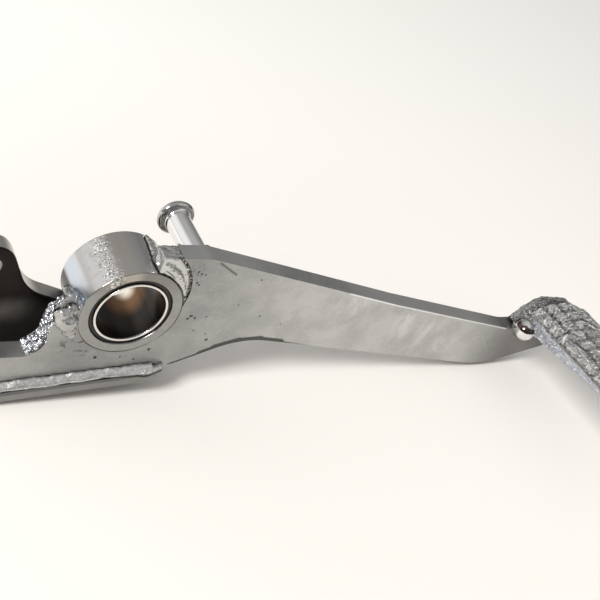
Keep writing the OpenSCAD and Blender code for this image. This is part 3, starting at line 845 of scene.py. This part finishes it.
def blob(name, parts, voxel, rounds, lump, lump_size, grit, seed):
    """Weld metal: parts (balls as tuples, meshes, or a CAD node's name) fused to one skin, smoothed
    and made lumpy by noise."""
    bm = bmesh.new()
    for part in parts:
        if isinstance(part, tuple):
            x, y, z, r = part
            place = Matrix.Translation(Vector((x, y, z)) * MM)
            bmesh.ops.create_icosphere(bm, subdivisions=3, radius=r * MM, matrix=place)
        else:
            bm.from_mesh(merged_copy(part) if isinstance(part, str) else part)
    bmesh.ops.triangulate(bm, faces=bm.faces)
    mesh = bpy.data.meshes.new(name)
    bm.to_mesh(mesh)
    bm.free()
    shift = Vector((seed * 3.7, seed * 1.9, seed * 2.3))
    return smooth(raised(fused(mesh, voxel, 0.6, rounds), lambda at: (
        lump * noise.noise(at / lump_size + shift) + grit * noise.noise(at / GRIT_SIZE + shift))))


# Pieces

def arm_edge(middle):
    """How much each edge of the arm is rounded: more at the waist, most at the shoulder."""
    broken, along_arm, waist, shoulder = 0.12, 0.24, 0.35, 0.9
    if middle.z < -8:
        return waist if 20 < middle.x < 70 else broken
    if middle.x < 45 and middle.z > 10:
        return max(broken, min(shoulder, shoulder - (middle.x - 20) / 18))
    return broken if middle.x < 70 else along_arm


def web_edge(middle):
    """The web's upright front corner is round in plan; its other edges are only broken."""
    at_corner = middle.x > web_high.x / MM - 2.5 and middle.y < web_low.y / MM + 0.6
    return 1.0 if at_corner else 0.28


def add_plates():
    """The arm, the lever and the web between them."""
    arm = rounded("arm_plate", 2.4, 5, arm_edge)
    new_piece("arm", arm, satin_arm_chrome(), "arm_plate", "arm_plate")
    lever = rounded("lever_plate", 0.5, 3)
    new_piece("lever", lever, dull_lever_chrome(), "lever_plate", "lever_plate")
    web = rounded("web_plate", 2.6, 5, web_edge)
    new_piece("web", web, satin_web_chrome(), "web_plate", "web_plate")


def add_pivot():
    """The tube, with a recess at each end, the bush in its bore and a dust seal in each recess."""
    inside = BUSH_R + SEAT_ROOM
    outer_end, inner_end = SEAL_Y1, TUBE_LEN - SEAL_Y1
    tube = eased([
        (inside, outer_end), (SEAL_R, outer_end), (SEAL_R, 0), (TUBE_R, 0),
        (TUBE_R, TUBE_LEN), (SEAL_R, TUBE_LEN), (SEAL_R, inner_end), (inside, inner_end)], 0.4)
    new_piece("tube", turned("tube", tube, 256), turned_tube_chrome(), "pivot_tube", "pivot_tube")
    bush = eased([(BORE_R, 0), (BUSH_R, 0), (BUSH_R, TUBE_LEN), (BORE_R, TUBE_LEN)], 0.15)
    new_piece("bush", turned("bush", bush, 256), worn_bush(), "pivot_bush", "pivot_bush")
    rubber = seal_rubber()
    outside = SEAL_R - SEAT_ROOM
    for name, node, y0, y1 in (
            ("outer_seal", "outer_dust_seal", SEAL_Y0, SEAL_Y1),
            ("inner_seal", "inner_dust_seal", inner_low.y / MM, inner_high.y / MM)):
        ring = eased([(inside, y0), (outside, y0), (outside, y1), (inside, y1)], 0.3)
        new_piece(name, turned(name, ring, 192), rubber, "dust_seal", node)


def add_spring_pin():
    """Headed pin: a straight shank, a fillet under the head, a rounded rim and a dome."""
    under = PIN_END - PIN_HEAD_T
    fillet_r = 0.9
    rim_r = 1.1
    straight = 0.2
    rim_top = under + rim_r + straight
    shank = [(0, PIN_START), (PIN_R, PIN_START), (PIN_R, under - fillet_r)]
    fillet = arc((PIN_R + fillet_r, under - fillet_r), -fillet_r, fillet_r, range(15, 91, 15))
    rim = arc((PIN_HEAD_R - rim_r, under + rim_r), rim_r, rim_r, range(-80, 21, 12))
    dome = arc((0, rim_top), PIN_HEAD_R, PIN_HEAD_T - rim_r - straight, range(26, 90, 6))
    profile = shank + fillet + rim + dome + [(0, PIN_END)]
    mesh = turned("pin", profile, 128, centre=(PIN_X, PIN_Z))
    new_piece("pin", mesh, polished_chrome(), "spring_pin", "spring_pin")


def add_foot_pad():
    """The casting: its CAD form fused to one skin, softened and grained; studs remembered for wear."""
    mesh = fused(merged_copy("foot_pad"), 0.36, 0.5, 3)
    place = (Matrix.Translation(PAD_MIDDLE)
             @ Matrix.Rotation(PAD_TURN, 4, "Z") @ Matrix.Rotation(PAD_TILT, 4, "X"))
    back = place.inverted()
    own_places = [back @ (vertex.co / MM) for vertex in mesh.vertices]
    raised(mesh, lambda at: 0.28 * noise.noise(at / 1.6) + 0.16 * noise.noise(at / 0.75))
    layer = mesh.attributes.new("stud_height", "FLOAT", "POINT")
    layer.data.foreach_set("value", [math.hypot(own.x, own.z) - PAD_FLOOR_R for own in own_places])
    new_piece("pad", smooth(mesh), cast_pad_chrome(), "foot_pad", "foot_pad")


def add_web_beads():
    """Long beads in the corners over the web's two ledges, a little wavy along their lower toe."""
    bright = web_bead_chrome()
    # toward the front it spreads over the web's edge and ends round: x, y, depth under the web's top, radius
    wrap = [(x, y, WEB_TOP_0 + WEB_PITCH * x - down, r) for x, y, down, r in (
        (0.0, -1.5, 0.0, 0.8), (4.0, -1.7, 0.2, 1.2), (9.0, -1.8, 0.5, 1.7), (12.4, -1.4, 0.4, 1.75),
        (14.6, -0.9, -0.1, 1.45), (15.3, -0.4, -0.6, 1.05))]
    spread = weld_on_path.grains(wrap, spacing=0.5, wander=0.04, seed=10, metal=bright)
    outer = blob("web_bead_outer", ["web_weld_outer", spread],
                 voxel=0.28, rounds=5, lump=0.45, lump_size=3.6, grit=0.04, seed=1)
    new_piece("web_bead_outer", outer, bright, "weld", "web_weld_outer")
    inner = blob("web_bead_inner", ["web_weld_inner"],
                 voxel=0.3, rounds=5, lump=0.32, lump_size=2.2, grit=0.06, seed=2)
    new_piece("web_bead_inner", inner, bright, "weld", "web_weld_inner")


def add_horn_blisters():
    """Blistered plating over the edge face of the horn and the scallop, as small merged grains."""
    path = [(-25.9, -14.5), (-25.1, -13.7), (-23.2, -11.4), (-21.9, -9.2), (-21.7, -6.5),
            (-21.8, -4.2), (-21.0, -2.0), (-19.6, 0.0), (-18.2, 1.6)]
    metal = blister_chrome()
    grain_r = 0.62
    # the strip runs from near the plate's outer face to near its inner one
    strip = [(x, y, z, grain_r) for x, z in path for y in (0.35, 5.65)]
    faces = [(2 * k, 2 * k + 1, 2 * k + 3, 2 * k + 2) for k in range(len(path) - 1)]
    grains = grains_on_strip.grains(strip, spacing=0.75, wander=0.55, seed=9, metal=metal, faces=faces)
    mesh = blob("horn_blisters", [grains], voxel=0.2, rounds=4, lump=0.35, lump_size=1.3, grit=0.12, seed=9)
    new_piece("horn_blisters", mesh, metal, "weld")


def add_horn_weld():
    """The smooth lump between horn and tube, with a ridge that runs back along the tube."""
    metal = lump_weld_chrome()
    ridge = [(-17.6, 0.9, 1.6, 2.2), (-16.8, 3.6, 2.6, 1.8), (-16.6, 6.2, 2.0, 1.7), (-16.0, 8.0, 0.9, 1.4),
             (-15.8, 9.6, -0.2, 1.1), (-15.7, 11.2, -1.0, 0.8)]
    lumps = [(-18.5, -0.3, -1.2, 3.3), (-17.6, 0.2, -3.2, 2.6), (-19.6, 0.2, 0.6, 2.5),
             (-16.6, 0.4, -5.6, 2.1), (-15.6, 0.6, -7.4, 1.5)]
    grains = weld_on_path.grains(ridge, spacing=0.9, wander=0.08, seed=3, metal=metal)
    mesh = blob("horn_weld", lumps + [grains],
                voxel=0.25, rounds=5, lump=0.35, lump_size=1.6, grit=0.10, seed=3)
    new_piece("horn_weld", mesh, metal, "weld", "tube_weld_rear")


def add_groove_weld():
    """The weld that fills the groove over the tube, with a run down its inboard side."""
    metal = groove_weld_chrome()
    groove = [(5.6, 0.9, 17.4, 1.1), (6.9, 0.7, 16.4, 1.35), (8.6, 0.6, 15.0, 1.45), (10.2, 0.5, 13.2, 1.4),
              (11.6, 0.6, 11.2, 1.25), (12.9, 0.8, 9.0, 1.1), (13.8, 1.0, 6.8, 0.8)]
    side_run = [(4.9, 3.0, 16.6, 1.6), (5.6, 5.6, 15.4, 1.9)]
    parts = ["tube_weld_upper",
             weld_on_path.grains(groove, spacing=0.35, wander=0.05, seed=4, metal=metal),
             weld_on_path.grains(side_run, spacing=0.7, wander=0.05, seed=5, metal=metal)]
    mesh = blob("tube_weld_bead", parts, voxel=0.25, rounds=3, lump=0.22, lump_size=1.7, grit=0.07, seed=4)
    new_piece("tube_weld_bead", mesh, metal, "weld", "tube_weld_upper")


def add_tube_fillets(metal):
    """Fillets round the tube, behind the arm and in front of the lever, each over a range of degrees."""
    r = TUBE_R + 0.5
    stretches = 24
    for name, node, y, first, last, way in (
            ("tube_fillet_inboard", "tube_weld_inboard", PLATE_T, -58, 64, 1),
            ("lever_tube_fillet", "lever_tube_weld", TUBE_LEN - PLATE_T, 202, 328, -1)):
        turns = [math.radians(first + (last - first) * k / stretches) for k in range(stretches + 1)]
        run = [(r * math.cos(turn), y + way * 0.5, r * math.sin(turn), 1.3) for turn in turns]
        grains = weld_on_path.grains(run, spacing=0.6, wander=0.10, seed=6, metal=metal)
        mesh = blob(name, [grains], voxel=0.32, rounds=4, lump=0.25, lump_size=1.6, grit=0.05, seed=5)
        new_piece(name, mesh, metal, "weld", node)


def add_pin_fillet(metal):
    """The fillet all round the foot of the spring pin."""
    r = PIN_R + 0.4
    turns = [k * math.pi / 12 for k in range(24)]
    ring = [(PIN_X + r * math.cos(turn), PLATE_T + 0.3, PIN_Z + r * math.sin(turn), 1.1) for turn in turns]
    grains = weld_on_path.grains(ring, spacing=0.6, wander=0.10, seed=7, metal=metal, closed=True)
    mesh = blob("pin_fillet", [grains], voxel=0.3, rounds=4, lump=0.2, lump_size=1.4, grit=0.04, seed=6)
    new_piece("pin_fillet", mesh, metal, "weld", "spring_pin_weld")


def add_pad_weld():
    """The polished drop under the pad's rear corner, with lumpy ribs of weld between it and the pad."""
    x, y, z = DROP_PLACE
    drop_r = 3.9
    metal = drop_chrome()
    under_pad = [(x + 2.5, -1.6, -10.8, 1.9), (x + 19.5, -0.4, -12.0, 1.5)]
    parts = [(x, y, z, drop_r), (x + 3.2, y + 3.4, z - 2.6, drop_r),
             weld_on_path.grains(under_pad, spacing=0.9, wander=0.1, seed=8, metal=metal)]
    mesh = blob("pad_drop", parts, voxel=0.25, rounds=4, lump=0.08, lump_size=2.5, grit=0.0, seed=7)
    new_piece("pad_drop", mesh, metal, "weld", "pad_weld")


# Camera, floor and light

def add_camera():
    """The camera, aimed by its azimuth and elevation and then rolled."""
    camera = bpy.data.cameras.new("camera")
    camera.lens = CAMERA_LENS
    camera.sensor_width = CAMERA_FILM
    camera.clip_start = CAMERA_NEAR
    seen_by = in_scene("camera", camera)
    seen_by.location = CAMERA_PLACE
    aimed = Matrix.Rotation(math.radians(-CAMERA_AZIMUTH), 4, "Z") @ Matrix.Rotation(
        math.radians(90 + CAMERA_ELEVATION), 4, "X")
    seen_by.rotation_euler = (aimed @ Matrix.Rotation(math.radians(-CAMERA_ROLL), 4, "Z")).to_euler()
    bpy.context.scene.camera = seen_by


def add_floor():
    """Pale paper floor, just under the lowest point, much larger than the pedal."""
    level = cad_low.z - FLOOR_GAP * MM
    corners = [(x * FLOOR_REACH, y * FLOOR_REACH, level) for x, y in ((-1, -1), (1, -1), (1, 1), (-1, 1))]
    mesh = bpy.data.meshes.new("floor")
    mesh.from_pydata(corners, [], [(0, 1, 2, 3)])
    floor = in_scene("floor", mesh)
    s = Shader("pale_paper")
    # painted light: the paper is painted lighter away from the camera, for the light's fall-off
    paper = s.layers(
        (0.905, 0.878, 0.842),
        (s.step(s.axis("X"), 0, 260), (0.995, 0.968, 0.928)),
        (s.step(s.axis("Y"), 40, 240), (0.995, 0.985, 0.955)))
    mesh.materials.append(s.finish(paper, 0.6, metallic=0.0))


def add_light():
    """A grey room that is brighter overhead, with two broad glows, and one large soft lamp."""
    world = bpy.data.worlds.new("room")
    bpy.context.scene.world = world
    world.use_nodes = True
    room = Wiring(world.node_tree)
    room.tree.nodes.clear()
    direction = room.node("ShaderNodeTexCoord").outputs["Generated"]
    height = room.node("ShaderNodeSeparateXYZ", {0: direction}).outputs["Z"]
    ramp = room.node("ShaderNodeValToRGB", {0: height})
    ramp.color_ramp.interpolation = "EASE"
    stops = ramp.color_ramp.elements
    stops.remove(stops[1])
    for k, (place, level) in enumerate(ROOM_LEVELS):
        stop = stops.new(place) if k else stops[0]
        stop.color = (*(level * part for part in ROOM_TINT), 1)
    colour = ramp.outputs[0]
    for toward, (start, end), shade in GLOWS:
        facing = room.vector("DOT_PRODUCT", direction, tuple(Vector(toward).normalized()))
        colour = room.colour(room.step(facing, start, end), colour, shade)
    background = room.node("ShaderNodeBackground", {"Color": colour})
    room.node("ShaderNodeOutputWorld", {"Surface": background.outputs[0]})
    lamp = bpy.data.lights.new("soft_lamp", "AREA")
    lamp.size = LAMP_SIZE
    lamp.energy = LAMP_POWER
    lamp.color = LAMP_COLOUR
    stand = in_scene("soft_lamp", lamp)
    stand.location = LAMP_PLACE
    stand.rotation_euler = (LAMP_PLACE - LAMP_AIM).to_track_quat("Z", "Y").to_euler()


add_plates()
add_pivot()
add_spring_pin()
add_foot_pad()
add_web_beads()
add_horn_blisters()
add_horn_weld()
add_groove_weld()
fillet_metal = smooth_weld_chrome()
add_tube_fillets(fillet_metal)
add_pin_fillet(fillet_metal)
add_pad_weld()
add_camera()
add_floor()
add_light()
bpy.context.scene.view_settings.view_transform = "Standard"
